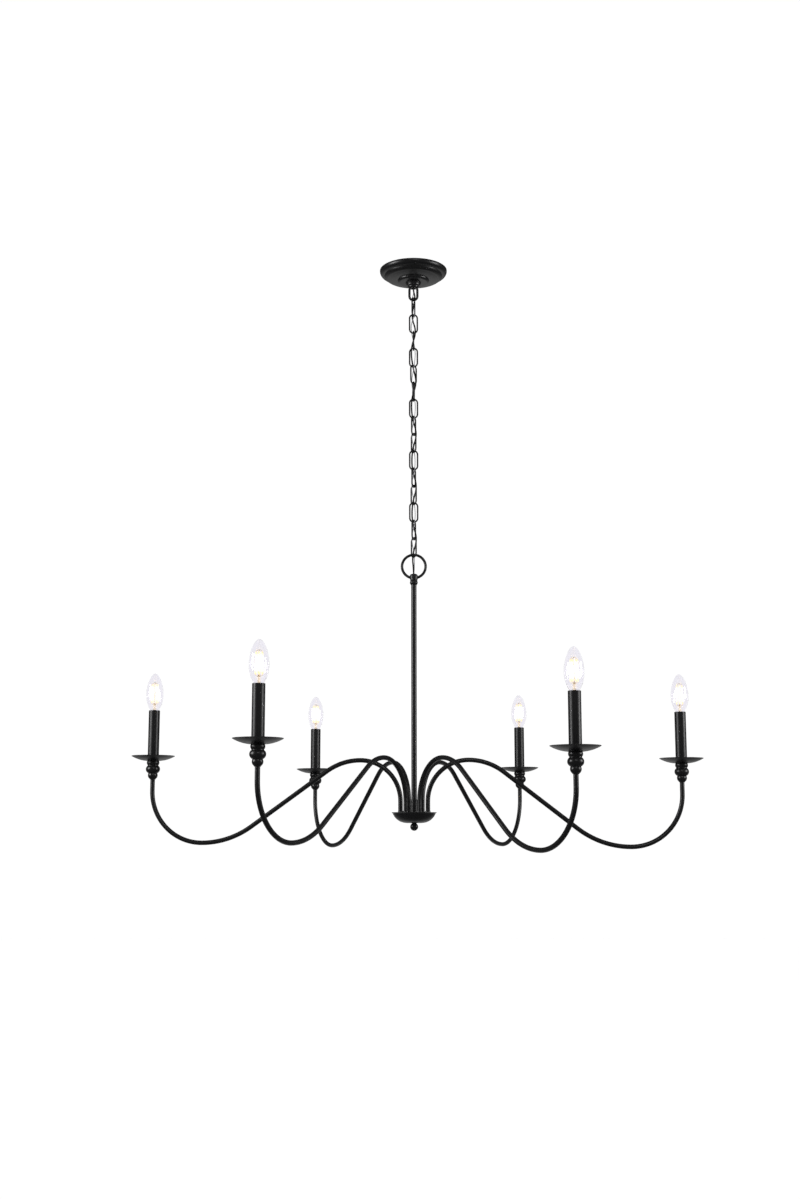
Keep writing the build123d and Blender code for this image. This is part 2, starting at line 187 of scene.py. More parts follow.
def tube(path: Array, radius: Array, sides: int, side_way: Point) -> Surface:
    """A round tube carried along a path, closed by a flat cap at each end.

    The vertex at path place u and angle v is p(u) + r(u) (n(u) cos v + b(u) sin v), where b is the path's
    direction crossed with a fixed side-way vector, and n is b crossed with the direction.

    Args:
        path: rows of points.
        radius: the tube's radius at each point.
        sides: how many steps there are round the tube.
        side_way: a direction that the path never points along.

    Returns:
        The vertices and the faces.
    """
    way = np.gradient(path, axis=0)
    way /= np.linalg.norm(way, axis=1)[:, None]
    b = np.cross(way, np.array(side_way))
    b /= np.linalg.norm(b, axis=1)[:, None]
    n = np.cross(b, way)
    v = np.linspace(0, 2 * np.pi, sides, endpoint=False)[None, :, None]
    ring = n[:, None] * np.cos(v) + b[:, None] * np.sin(v)
    grid = path[:, None] + radius[:, None, None] * ring
    verts = np.vstack([path[:1], grid.reshape(-1, 3), path[-1:]])
    faces = quads(len(path), sides) + caps(len(path), sides)
    return verts, [face[::-1] for face in faces]


def make_piece(name: str, parts: list[Surface], material: bpy.types.Material) -> bpy.types.Object:
    """One smooth mesh object from one or more surfaces.

    Args:
        name: the piece's name.
        parts: the surfaces, in metres, with their faces outwards.
        material: what it is made of.

    Returns:
        The new object, at the origin.
    """
    verts: list[Array] = []
    faces: Faces = []
    count = 0
    for points, shape in parts:
        faces += [[i + count for i in face] for face in shape]
        verts.append(points)
        count += len(points)
    mesh = bpy.data.meshes.new(name)
    mesh.from_pydata(np.vstack(verts), [], faces)
    mesh.polygons.foreach_set("use_smooth", np.ones(len(faces), bool))
    mesh.materials.append(material)
    mesh.update()
    piece = bpy.data.objects.new(name, mesh)
    bpy.context.scene.collection.objects.link(piece)
    log.info("%s: %d faces", name, len(faces))
    return piece


def lay_strands(piece: bpy.types.Object, places: Array, sides: int, tubes: int) -> None:
    """Gives a piece made of tubes its UV map: once round a tube is one, and along it is the given place.

    A face that spans the seam has corners near nought and near one. Its low corners are raised by one, so
    the pattern runs on over the seam.

    Args:
        piece: the piece, whose tubes have the same number of rings.
        places: how far along its tube each ring of vertices is, tube by tube.
        sides: how many vertices go round a tube.
        tubes: how many tubes there are.
    """
    mesh = piece.data
    round_tube, along = [], []
    for run in np.split(places, tubes):
        round_tube.append(np.concatenate([[0], np.tile(np.arange(sides) / sides, len(run)), [0]]))
        along.append(np.concatenate([run[:1], np.repeat(run, sides), run[-1:]]))
    corner = np.empty(len(mesh.loops), np.int32)
    mesh.loops.foreach_get("vertex_index", corner)
    uv = np.stack([np.concatenate(round_tube)[corner], np.concatenate(along)[corner]], axis=1)
    starts = np.empty(len(mesh.polygons), np.int32)
    totals = np.empty(len(mesh.polygons), np.int32)
    mesh.polygons.foreach_get("loop_start", starts)
    mesh.polygons.foreach_get("loop_total", totals)
    face = np.repeat(np.arange(len(starts)), totals)
    highest = np.maximum.reduceat(uv[:, 0], starts)
    past_seam, before_seam = 0.7, 0.3
    uv[(highest[face] > past_seam) & (uv[:, 0] < before_seam), 0] += 1.0
    mesh.uv_layers.new(name="strands").data.foreach_set("uv", uv.ravel())


# ---------------------------------------------------------------- shader groups
def new_group(
    name: str, inputs: list[tuple[str, float]], outputs: list[tuple[str, str]]
) -> bpy.types.ShaderNodeTree:
    """An empty shader group with its sockets, and a group input and output node.

    Args:
        name: the group's name.
        inputs: each number socket and its default.
        outputs: each output socket and its type.

    Returns:
        The node tree.
    """
    tree = bpy.data.node_groups.new(name, "ShaderNodeTree")
    for label, value in inputs:
        tree.interface.new_socket(label, in_out="INPUT", socket_type="NodeSocketFloat").default_value = value
    for label, kind in outputs:
        tree.interface.new_socket(label, in_out="OUTPUT", socket_type=kind)
    tree.nodes.new("NodeGroupInput").name = "in"
    tree.nodes.new("NodeGroupOutput").name = "out"
    return tree


def math_node(tree: bpy.types.NodeTree, kind: str, a: object, b: object = 0.0) -> bpy.types.NodeSocket:
    """A math node in a tree, fed by sockets or numbers.

    Args:
        tree: the node tree.
        kind: the operation.
        a: the first socket or number.
        b: the second socket or number.

    Returns:
        The result's socket.
    """
    node = tree.nodes.new("ShaderNodeMath")
    node.operation = kind
    for socket, value in zip(node.inputs, (a, b)):
        if isinstance(value, bpy.types.NodeSocket):
            tree.links.new(value, socket)
        else:
            socket.default_value = value
    return node.outputs[0]


def orange_peel_group() -> bpy.types.ShaderNodeTree:
    """The skin of sprayed powder coat: a fine pebbled height, and a slow cloud that varies the sheen.

    Returns:
        The group.
    """
    tree = new_group(
        "orange_peel",
        [("Pebble Scale", 900.0), ("Cloud Scale", 14.0)],
        [("Height", "NodeSocketFloat"), ("Cloud", "NodeSocketFloat")],
    )
    place = tree.nodes.new("ShaderNodeTexCoord").outputs["Object"]
    for label, socket, detail in (("Pebble Scale", "Height", 3.0), ("Cloud Scale", "Cloud", 5.0)):
        noise = tree.nodes.new("ShaderNodeTexNoise")
        noise.inputs["Detail"].default_value = detail
        tree.links.new(place, noise.inputs["Vector"])
        tree.links.new(tree.nodes["in"].outputs[label], noise.inputs["Scale"])
        tree.links.new(noise.outputs["Fac"], tree.nodes["out"].inputs[socket])
    return tree


def dust_group() -> bpy.types.ShaderNodeTree:
    """Fine dust on what faces up: the third power of the upward slope, broken by noise.

    Returns:
        The group.
    """
    tree = new_group("dust", [("Amount", 0.2), ("Speckle Scale", 160.0)], [("Mask", "NodeSocketFloat")])
    normal = tree.nodes.new("ShaderNodeNewGeometry").outputs["Normal"]
    parts = tree.nodes.new("ShaderNodeSeparateXYZ")
    tree.links.new(normal, parts.inputs[0])
    noise = tree.nodes.new("ShaderNodeTexNoise")
    noise.inputs["Detail"].default_value = 6.0
    tree.links.new(tree.nodes.new("ShaderNodeTexCoord").outputs["Object"], noise.inputs["Vector"])
    tree.links.new(tree.nodes["in"].outputs["Speckle Scale"], noise.inputs["Scale"])
    up = math_node(tree, "POWER", math_node(tree, "MAXIMUM", parts.outputs["Z"], 0.0), 3.0)
    speckle = math_node(tree, "MULTIPLY", up, noise.outputs["Fac"])
    mask = math_node(tree, "MULTIPLY", speckle, tree.nodes["in"].outputs["Amount"])
    tree.links.new(mask, tree.nodes["out"].inputs["Mask"])
    return tree


def braid_group() -> bpy.types.ShaderNodeTree:
    """A woven cover: two sets of strands that cross round the cord, as a product of slanted sine ridges.

    Returns:
        The group.
    """
    tree = new_group("braid", [("Round", 8.0), ("Along", 700.0)], [("Height", "NodeSocketFloat")])
    parts = tree.nodes.new("ShaderNodeSeparateXYZ")
    uv = tree.nodes.new("ShaderNodeUVMap")
    uv.uv_map = "strands"
    tree.links.new(uv.outputs[0], parts.inputs[0])
    turn = math_node(tree, "MULTIPLY", parts.outputs["X"], tree.nodes["in"].outputs["Round"])
    turn = math_node(tree, "MULTIPLY", turn, 2 * math.pi)
    run = math_node(tree, "MULTIPLY", parts.outputs["Y"], tree.nodes["in"].outputs["Along"])
    left = math_node(tree, "SINE", math_node(tree, "ADD", turn, run))
    right = math_node(tree, "SINE", math_node(tree, "SUBTRACT", turn, run))
    tree.links.new(math_node(tree, "MULTIPLY", left, right), tree.nodes["out"].inputs["Height"])
    return tree


# ---------------------------------------------------------------- finishes
DUST_COLOUR = (0.33, 0.31, 0.29, 1.0)


@dataclass(frozen=True)
class Coated:
    """Sprayed or moulded black and plated metals, all with a pebbled skin and a little dust.

    Attributes:
        name: the material's name.
        colour: its base colour.
        rough: its middle roughness.
        metallic: one for bare metal.
        coat: the weight of a clear coat.
        pebble: how many pebbles there are to the metre.
        depth: the height of a pebble in metres.
        dust: how much dust lies on what faces up.
        shine: the specular level.
        coat_rough: the clear coat's roughness.
        sheen_spread: how far the cloud varies the roughness, from smoothest to roughest.
        pebble_strength: how strongly the pebbles show.
    """

    name: str
    colour: tuple[float, float, float]
    rough: float
    metallic: float = 0.0
    coat: float = 0.0
    pebble: float = 900.0
    depth: float = 0.00002
    dust: float = 0.05
    shine: float = 0.5
    coat_rough: float = 0.25
    sheen_spread: float = 0.2
    pebble_strength: float = 0.6

    def build(self) -> bpy.types.Material:
        """Builds the material.

        Returns:
            The material, with its shader in place.
        """
        material = bpy.data.materials.new(self.name)
        material.use_nodes = True
        tree = material.node_tree
        shader = tree.nodes["Principled BSDF"]
        shader.inputs["Metallic"].default_value = self.metallic
        shader.inputs["Coat Weight"].default_value = self.coat
        shader.inputs["Specular IOR Level"].default_value = self.shine
        shader.inputs["Coat Roughness"].default_value = self.coat_rough
        peel = tree.nodes.new("ShaderNodeGroup")
        peel.node_tree = bpy.data.node_groups["orange_peel"]
        peel.inputs["Pebble Scale"].default_value = self.pebble
        dust = tree.nodes.new("ShaderNodeGroup")
        dust.node_tree = bpy.data.node_groups["dust"]
        dust.inputs["Amount"].default_value = self.dust
        tint = tree.nodes.new("ShaderNodeMix")
        tint.data_type = "RGBA"
        tint.inputs["A"].default_value = (*self.colour, 1.0)
        tint.inputs["B"].default_value = DUST_COLOUR
        tree.links.new(dust.outputs["Mask"], tint.inputs["Factor"])
        tree.links.new(tint.outputs["Result"], shader.inputs["Base Color"])
        sheen = math_node(tree, "MULTIPLY", peel.outputs["Cloud"], self.sheen_spread)
        rough = math_node(tree, "ADD", sheen, self.rough - self.sheen_spread / 2)
        tree.links.new(math_node(tree, "ADD", rough, dust.outputs["Mask"]), shader.inputs["Roughness"])
        bump = tree.nodes.new("ShaderNodeBump")
        bump.inputs["Distance"].default_value = self.depth
        bump.inputs["Strength"].default_value = self.pebble_strength
        tree.links.new(peel.outputs["Height"], bump.inputs["Height"])
        tree.links.new(bump.outputs["Normal"], shader.inputs["Normal"])
        return material


@dataclass(frozen=True)
class Woven:
    """The cord's woven cover.

    Attributes:
        name: the material's name.
        colour: the thread's colour.
        depth: how high a strand stands, in metres.
        rough: its roughness.
        shine: the specular level.
        hollow_shade: painted shade in the hollows between strands: how bright they are, as a share of the
            thread's colour.
    """

    name: str
    colour: tuple[float, float, float]
    depth: float = 0.0003
    rough: float = 0.85
    shine: float = 0.2
    hollow_shade: float = 0.3

    def build(self) -> bpy.types.Material:
        """Builds the material, whose strands follow the cord's own UV map.

        Returns:
            The material, with its shader in place.
        """
        material = bpy.data.materials.new(self.name)
        material.use_nodes = True
        tree = material.node_tree
        shader = tree.nodes["Principled BSDF"]
        shader.inputs["Roughness"].default_value = self.rough
        shader.inputs["Specular IOR Level"].default_value = self.shine
        braid = tree.nodes.new("ShaderNodeGroup")
        braid.node_tree = bpy.data.node_groups["braid"]
        tint = tree.nodes.new("ShaderNodeMix")
        # Painted shade: the braid's height darkens the thread's colour in the hollows between strands.
        tint.data_type = "RGBA"
        tint.inputs["A"].default_value = tuple(self.hollow_shade * c for c in self.colour) + (1.0,)
        tint.inputs["B"].default_value = (*self.colour, 1.0)
        lift = math_node(tree, "MULTIPLY_ADD", braid.outputs["Height"], 0.5)
        lift.node.inputs[2].default_value = 0.5
        tree.links.new(lift, tint.inputs["Factor"])
        tree.links.new(tint.outputs["Result"], shader.inputs["Base Color"])
        bump = tree.nodes.new("ShaderNodeBump")
        bump.inputs["Distance"].default_value = self.depth
        tree.links.new(braid.outputs["Height"], bump.inputs["Height"])
        tree.links.new(bump.outputs["Normal"], shader.inputs["Normal"])
        return material


@dataclass(frozen=True)
class Clear:
    """Clear blown glass.

    Attributes:
        name: the material's name.
        tint: the colour that the glass lends to what is behind it.
        ior: its index of refraction.
        wave_scale: how many waves of blowing there are to the metre.
        wave_depth: how deep a wave is, in metres.
    """

    name: str
    tint: tuple[float, float, float]
    ior: float = 1.46
    wave_scale: float = 60.0
    wave_depth: float = 0.0001

    def build(self) -> bpy.types.Material:
        """Builds the glass, with a faint waviness of blowing in its surface.

        Returns:
            The material, with its shader in place.
        """
        material = bpy.data.materials.new(self.name)
        material.use_nodes = True
        tree = material.node_tree
        shader = tree.nodes["Principled BSDF"]
        shader.inputs["Base Color"].default_value = (*self.tint, 1.0)
        shader.inputs["Roughness"].default_value = 0.0
        shader.inputs["IOR"].default_value = self.ior
        shader.inputs["Metallic"].default_value = 0.0
        shader.inputs["Transmission Weight"].default_value = 1.0
        noise = tree.nodes.new("ShaderNodeTexNoise")
        noise.inputs["Scale"].default_value = self.wave_scale
        tree.links.new(tree.nodes.new("ShaderNodeTexCoord").outputs["Object"], noise.inputs["Vector"])
        bump = tree.nodes.new("ShaderNodeBump")
        bump.inputs["Distance"].default_value = self.wave_depth
        tree.links.new(noise.outputs["Fac"], bump.inputs["Height"])
        tree.links.new(bump.outputs["Normal"], shader.inputs["Normal"])
        return material


@dataclass(frozen=True)
class Phosphor:
    """The lit coating of a filament: yellow at its ends, and nearly white along the rest.

    Attributes:
        name: the material's name.
        end: its colour at a filament's ends.
        middle: its colour along the rest.
        strength: how strongly it is lit.
        rough: its roughness.
        end_power: how closely the yellow keeps to the ends.
        grain_scale: how many grains there are to the metre.
        grain_share: how much the grains change the colour.
    """

    name: str
    end: tuple[float, float, float]
    middle: tuple[float, float, float]
    strength: float
    rough: float = 0.6
    end_power: float = 2.6
    grain_scale: float = 1800.0
    grain_share: float = 0.25

    def build(self) -> bpy.types.Material:
        """Builds the lit coating, yellow at the ends by the rods' own UV map, with grains in its colour.

        Returns:
            The material, with its shader in place.
        """
        material = bpy.data.materials.new(self.name)
        material.use_nodes = True
        tree = material.node_tree
        shader = tree.nodes["Principled BSDF"]
        shader.inputs["Roughness"].default_value = self.rough
        shader.inputs["Emission Strength"].default_value = self.strength
        uv = tree.nodes.new("ShaderNodeUVMap")
        uv.uv_map = "strands"
        parts = tree.nodes.new("ShaderNodeSeparateXYZ")
        tree.links.new(uv.outputs[0], parts.inputs[0])
        centred = math_node(tree, "SUBTRACT", math_node(tree, "MULTIPLY", parts.outputs["Y"], 2.0), 1.0)
        end = math_node(tree, "POWER", math_node(tree, "ABSOLUTE", centred), self.end_power)
        noise = tree.nodes.new("ShaderNodeTexNoise")
        noise.inputs["Scale"].default_value = self.grain_scale
        tree.links.new(tree.nodes.new("ShaderNodeTexCoord").outputs["Object"], noise.inputs["Vector"])
        grain = math_node(tree, "MULTIPLY", noise.outputs["Fac"], self.grain_share)
        tint = tree.nodes.new("ShaderNodeMix")
        tint.data_type = "RGBA"
        tint.inputs["A"].default_value = (*self.middle, 1.0)
        tint.inputs["B"].default_value = (*self.end, 1.0)
        tree.links.new(math_node(tree, "ADD", end, grain), tint.inputs["Factor"])
        tree.links.new(tint.outputs["Result"], shader.inputs["Base Color"])
        tree.links.new(tint.outputs["Result"], shader.inputs["Emission Color"])
        return material


class Finishes:
    """Every material of the object, built once."""

    def __init__(self) -> None:
        """Builds the shared groups and then each finish."""
        orange_peel_group()
        dust_group()
        braid_group()
        black = (0.0035, 0.0035, 0.004)
        self.glass = Clear("clear_bulb_glass", (0.905, 0.895, 0.93)).build()
        self.cord = Woven("woven_black_cover", (0.012, 0.012, 0.012)).build()
        self.by_slot = {
            Slot.PAINT: Coated("satin_black_coat", black, 0.34, coat=0.1).build(),
            Slot.CHAIN: Coated("black_chain_coat", black, 0.36, pebble=1400.0).build(),
            Slot.ZINC: Coated("zinc_plate", (0.58, 0.58, 0.55), 0.38, metallic=1.0, dust=0.1).build(),
            Slot.SCREW: Coated("green_screw", (0.03, 0.24, 0.08), 0.4, metallic=0.6, dust=0.1).build(),
            Slot.SLEEVE: Coated("black_candle_sleeve", black, 0.36, pebble=1200.0).build(),
            Slot.SOCKET: Coated("moulded_socket", (0.02, 0.02, 0.02), 0.35).build(),
            Slot.CAP: Coated("nickel_cap", (0.72, 0.7, 0.66), 0.25, metallic=1.0, dust=0.0).build(),
            Slot.CORD: self.cord,
            Slot.GLASS: self.glass,
        }
        self.earth = Coated("earth_wire_sleeve", (0.16, 0.16, 0.17), 0.35, pebble=2000.0, dust=0.0).build()
        self.stem_glass = Clear("bulb_stem_glass", (1.0, 0.86, 0.64)).build()
        self.phosphor = Phosphor("lit_filament", (0.86, 0.56, 0.16), (1.0, 0.94, 0.8), 1.7).build()
        self.wire = Coated("filament_wire", (0.75, 0.6, 0.35), 0.3, metallic=1.0, dust=0.0).build()


# ---------------------------------------------------------------- pieces that the frame already holds
@dataclass
class SubAssembly:
    """Pieces that come apart together on a bench.

    Attributes:
        finishes: the object's materials.
    """

    frame: dict
    finishes: Finishes

    def nodes(self) -> list[str]:
        """The names of its pieces in the frame."""
        return []

    def sizes(self) -> list[tuple[str, int, float]]:
        """Its leading sizes: a node, the axis that it is measured along, and its length in metres."""
        return []

    def dress(self) -> list[str]:
        """Gives each of its pieces the finish of its slot in the record.

        Returns:
            The names of the pieces that it dressed.
        """
        slots = {entry["node"]: Slot(entry["material_slot"]) for entry in self.frame["record"]["subparts"]}
        for name in self.nodes():
            for holder in self.frame["nodes"][name].material_slots:
                holder.material = self.finishes.by_slot[slots[name]]
            log.info("%s: %s", name, slots[name].value)
        for name, axis, length in self.sizes():
            low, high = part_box(name)
            log.info("%s: %.1f mm, meant to be %.1f mm", name, (high[axis] - low[axis]) / MM, length / MM)
        return self.nodes()


@dataclass
class CeilingMount(SubAssembly):
    """The canopy, the loop under it and the fittings that it hides.

    Attributes:
        canopy_radius: the canopy's radius.
        bar_length: the length of the crossbar.
    """

    canopy_radius: float = 65.0 * MM
    bar_length: float = 106.0 * MM

    def nodes(self) -> list[str]:
        """The names of its pieces in the frame."""
        hidden = ["crossbar", "ceiling_nipple", "nipple_nut", "ground_screw"]
        return hidden + ["canopy", "canopy_collar", "canopy_loop"]

    def sizes(self) -> list[tuple[str, int, float]]:
        """The canopy's width and the crossbar's length."""
        return [("canopy", 0, 2 * self.canopy_radius), ("crossbar", 0, self.bar_length)]


@dataclass
class Chain(SubAssembly):
    """The fifteen oval links.

    Attributes:
        link_length: the length of a link.
    """

    link_length: float = 40.0 * MM

    def nodes(self) -> list[str]:
        """The names of its pieces in the frame."""
        return ["chain_link_top", "chain_links", "chain_link_bottom"]

    def sizes(self) -> list[tuple[str, int, float]]:
        """The height of the first link and of the last."""
        return [("chain_link_top", 2, self.link_length), ("chain_link_bottom", 2, self.link_length)]


@dataclass
class Fixture(SubAssembly):
    """The ring, the stem, the hub that holds the arms, and the bowl and ball under it.

    Attributes:
        cup_rim_radius: the radius of the bowl's rim.
        ball_radius: the radius of the ball.
    """

    cup_rim_radius: float = 41.2 * MM
    ball_radius: float = 7.3 * MM

    def nodes(self) -> list[str]:
        """The names of its pieces in the frame."""
        return ["top_ring", "stem_tube", "hub_body", "arm_bushes", "stem_nut", "hub_cup", "ball_finial"]

    def sizes(self) -> list[tuple[str, int, float]]:
        """The widths of the bowl and of the ball."""
        return [("hub_cup", 0, 2 * self.cup_rim_radius), ("ball_finial", 0, 2 * self.ball_radius)]


@dataclass
class CandleArm(SubAssembly):
    """One bent arm with its cup, drip pan, sleeve and socket.

    Attributes:
        number: which arm it is.
        pan_radius: the drip pan's radius.
        sleeve_radius: the candle sleeve's radius.
    """

    number: int = 1
    pan_radius: float = 40.3 * MM
    sleeve_radius: float = 10.4 * MM

    def nodes(self) -> list[str]:
        """The names of its pieces in the frame."""
        kinds = ("arm_tube", "candle_cup", "drip_pan", "candle_sleeve", "socket")
        return [f"{kind}_{self.number}" for kind in kinds]

    def sizes(self) -> list[tuple[str, int, float]]:
        """The widths of the drip pan and of the sleeve."""
        pan, sleeve = f"drip_pan_{self.number}", f"candle_sleeve_{self.number}"
        return [(pan, 0, 2 * self.pan_radius), (sleeve, 0, 2 * self.sleeve_radius)]


# ---------------------------------------------------------------- bulbs
# The envelope's outline from the neck to the tip, as shares of its radius and of its blown height.
ENVELOPE_OUTLINE = [
    (0.0, 0.0), (0.36, 0.003), (0.43, 0.02), (0.45, 0.05), (0.52, 0.09), (0.68, 0.155),
    (0.86, 0.25), (0.97, 0.345), (1.0, 0.45), (0.985, 0.55), (0.92, 0.66), (0.8, 0.76),
    (0.64, 0.85), (0.47, 0.92), (0.3, 0.965), (0.15, 0.99), (0.0, 1.0),
]
# The inner stem's outline from its flared foot to its pinched top: radius and height in metres.
STEM_OUTLINE = [
    (0.0, 1.2 * MM), (5.6 * MM, 1.6 * MM), (5.2 * MM, 3.2 * MM), (3.0 * MM, 6.5 * MM),
    (2.3 * MM, 12 * MM), (2.2 * MM, 17 * MM), (1.5 * MM, 19.5 * MM), (0.0, 20.5 * MM),
]


@dataclass
class Bulb(SubAssembly):
    """One clear candle bulb: its cap, its blown envelope, and six lit filaments on a glass stem.

    Attributes:
        number: which arm it stands on.
        wall: the glass's thickness, in metres.
        blown_height: the glass's height as a share of the frame's.
        filament_foot: how high the filaments start above the bottom of the glass.
        filament_length: the length of each filament.
        filament_radius: a filament's radius.
        filament_count: how many filaments there are.
        filament_spread: how far the filaments' feet stand from the bulb's axis.
        filament_top_spread: how far their tops stand from it.
        filament_steps: how many rings of vertices a filament has.
        bulb_turn: how far each bulb is turned on from the one before, in radians.
        seal_height: where the wires leave the stem, above the bottom of the glass.
        hub_rise: how far above the filaments their upper wires meet.
        lead_radius: the radius of the wires that hold the filaments.
        post_radius: the radius of the wire in the middle.
    """

    number: int = 1
    wall: float = 0.7 * MM
    blown_height: float = 0.975
    filament_foot: float = 20 * MM
    filament_length: float = 36 * MM
    filament_radius: float = 1.0 * MM
    filament_count: int = 6
    filament_spread: float = 6.3 * MM
    filament_top_spread: float = 5.6 * MM
    filament_steps: int = 14
    bulb_turn: float = 0.3
    seal_height: float = 17 * MM
    hub_rise: float = 3 * MM
    lead_radius: float = 0.22 * MM
    post_radius: float = 0.45 * MM

    def nodes(self) -> list[str]:
        """The names of its pieces in the frame."""
        return [f"bulb_glass_{self.number}", f"bulb_base_{self.number}"]

    def place(self) -> tuple[Array, float, float]:
        """Where the bulb stands in the frame.

        Returns:
            The foot of its axis, its radius and the height of the frame's glass.
        """
        low, high = (np.array(corner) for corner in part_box(f"bulb_glass_{self.number}"))
        return np.append((low + high)[:2] / 2, low[2]), (high - low)[0] / 2, (high - low)[2]

    def finish_piece(self, piece: bpy.types.Object, slot: Slot) -> None:
        """Makes a piece ride on this bulb's body.

        Args:
            piece: the new piece.
            slot: not used.
        """
        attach(piece, f"bulb_{self.number}")

    def envelope(self) -> None:
        """The blown envelope: an outer and an inner surface, each closed, with the glass between them.

        The outer outline is a smooth curve through a few points, swept round the bulb's axis. The inner
        one stands off it by the wall's thickness along its normal, and its faces look into the hollow.
        """
        foot, radius, height = self.place()
        outline = [(r * radius, h * height * self.blown_height) for r, h in ENVELOPE_OUTLINE]
        outside = profile_curve(outline, 90)
        steps = np.gradient(outside, axis=0)
        normal = np.stack([steps[:, 1], -steps[:, 0]], axis=1)
        normal /= np.linalg.norm(normal, axis=1)[:, None]
        inside = outside - self.wall * normal
        inside[0, 0] = inside[-1, 0] = 0.0
        outer, outer_faces = turned(outside, 64)
        inner, inner_faces = turned(np.maximum(inside, [0.0, -1.0]), 64)
        parts = [(outer + foot, outer_faces), (inner + foot, [face[::-1] for face in inner_faces])]
        piece = make_piece(f"bulb_{self.number}_glass", parts, self.finishes.glass)
        self.finish_piece(piece, Slot.GLASS)
        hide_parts(f"bulb_glass_{self.number}")

    def stem(self) -> None:
        """The glass stem that the filaments' wires are sealed in: a flared foot drawn to a pinched top."""
        foot = self.place()[0]
        verts, faces = turned(profile_curve(STEM_OUTLINE, 40), 32)
        piece = make_piece(f"bulb_{self.number}_stem", [(verts + foot, faces)], self.finishes.stem_glass)
        self.finish_piece(piece, Slot.GLASS)

    def filament_lines(self) -> list[Array]:
        """The centre lines of the filaments, which lean a little inwards towards the top.

        Returns:
            The points of each line, from its foot up.
        """
        foot = self.place()[0]
        up = np.array([0.0, 0.0, 1.0])
        lines = []
        for step in range(self.filament_count):
            turn = 2 * math.pi * step / self.filament_count + self.bulb_turn * self.number
            way = np.array([math.cos(turn), math.sin(turn), 0.0])
            low = foot + way * self.filament_spread + up * self.filament_foot
            high = foot + way * self.filament_top_spread + up * (self.filament_foot + self.filament_length)
            lines.append(np.linspace(low, high, self.filament_steps))
        return lines

    def filaments(self) -> None:
        """The lit filaments: slim rods whose radius falls off near the ends as an eighth power."""
        along = np.linspace(-1, 1, self.filament_steps)
        round_off = np.sqrt(np.clip(1 - along**8, 0.04, 1))
        lines = self.filament_lines()
        rods = [tube(line, self.filament_radius * round_off, 12, (1.0, 0.3, 0.0)) for line in lines]
        piece = make_piece(f"bulb_{self.number}_filaments", rods, self.finishes.phosphor)
        lay_strands(piece, np.tile(np.linspace(0, 1, self.filament_steps), len(lines)), 12, len(lines))
        self.finish_piece(piece, Slot.CAP)

    def wires(self) -> None:
        """The bent wires that carry the filaments, and the post between them.

        A wire goes from a filament's end to the post on a quadratic curve, (1 - t)^2 end + 2 t (1 - t) knee
        + t^2 hub, whose knee is level with the hub and two fifths of the way in.
        """
        foot = self.place()[0]
        up = np.array([0.0, 0.0, 1.0])
        top = foot + up * (self.filament_foot + self.filament_length + self.hub_rise)
        seal = foot + up * self.seal_height
        t = np.linspace(0, 1, 10)[:, None]
        parts = []
        for line in self.filament_lines():
            for end, hub in ((line[-1], top), (line[0], seal)):
                knee = np.array([end[0], end[1], hub[2]]) * 0.6 + hub * 0.4
                path = (1 - t) ** 2 * end + 2 * t * (1 - t) * knee + t**2 * hub
                parts.append(tube(path, np.full(len(path), self.lead_radius), 8, (0.2, 0.1, 1.0)))
        post = np.linspace(seal, top, 12)
        parts.append(tube(post, np.full(len(post), self.post_radius), 10, (1.0, 0.0, 0.0)))
        piece = make_piece(f"bulb_{self.number}_wires", parts, self.finishes.wire)
        self.finish_piece(piece, Slot.CAP)

    def build(self) -> None:
        """Makes every piece of the bulb."""
        self.envelope()
        self.stem()
        self.filaments()
        self.wires()


# ---------------------------------------------------------------- cord
@dataclass(frozen=True)
class Stretch:
    """A part of a wire that rides on one body, or bends between two that a pivot joins.

    Attributes:
        top: the height where it starts, in metres.
        bottom: the height where it ends.
        upper: the body above.
        lower: the body below, the same one where it doesn't bend.
    """

    top: float
    bottom: float
    upper: str
    lower: str


STRETCHES = [
    Stretch(1.0, -0.046, "ceiling_mount", "ceiling_mount"),
    Stretch(-0.046, -0.076, "ceiling_mount", "top_link"),
    Stretch(-0.076, -0.109, "top_link", "chain_run"),
    Stretch(-0.109, -0.517, "chain_run", "chain_run"),
    Stretch(-0.517, -0.548, "chain_run", "bottom_link"),
    Stretch(-0.548, -0.580, "bottom_link", "fixture"),
    Stretch(-0.580, -1.0, "fixture", "fixture"),
]

# The corners that the supply cord and the earth wire go round, in millimetres, from the ceiling down.
CORD_ROUTE = [
    (-1.2, 0, -1), (-1.2, 0, -38), (4.4, -5.8, -58), (-4.7, 6.1, -91),
    (6.3, -4.0, -125), (-5.7, -4.2, -159), (-1.3, 7.0, -193), (6.8, -1.4, -226),
    (-4.7, -5.8, -260), (-3.0, 6.4, -294), (7.2, 0.2, -328), (-3.2, -6.4, -362),
    (-3.4, 6.2, -396), (7.2, 0.8, -430), (-2.9, -6.6, -464), (-3.4, 6.2, -498),
    (7.2, 0.6, -532), (-3.2, -6.2, -565), (0, 0, -594), (0, 0, -612),
]
EARTH_ROUTE = [
    (2.0, 0, -1), (2.0, 0.3, -40), (-3.2, 4.4, -58), (1.5, 3.8, -74), (3.3, -4.4, -91),
    (-4.6, -0.6, -107), (-4.1, 3.9, -125), (4.2, 3.7, -159), (1.8, -5.2, -193),
    (-5.2, 1.6, -226), (3.6, 4.3, -260), (2.8, -4.6, -294), (-5.4, -0.1, -328),
    (2.4, 4.8, -362), (3.0, -4.5, -396), (-5.4, -0.6, -430), (2.2, 5.0, -464),
    (3.1, -4.4, -498), (-5.4, -0.5, -532), (2.6, 5.0, -565), (0.6, 2.6, -594),
]


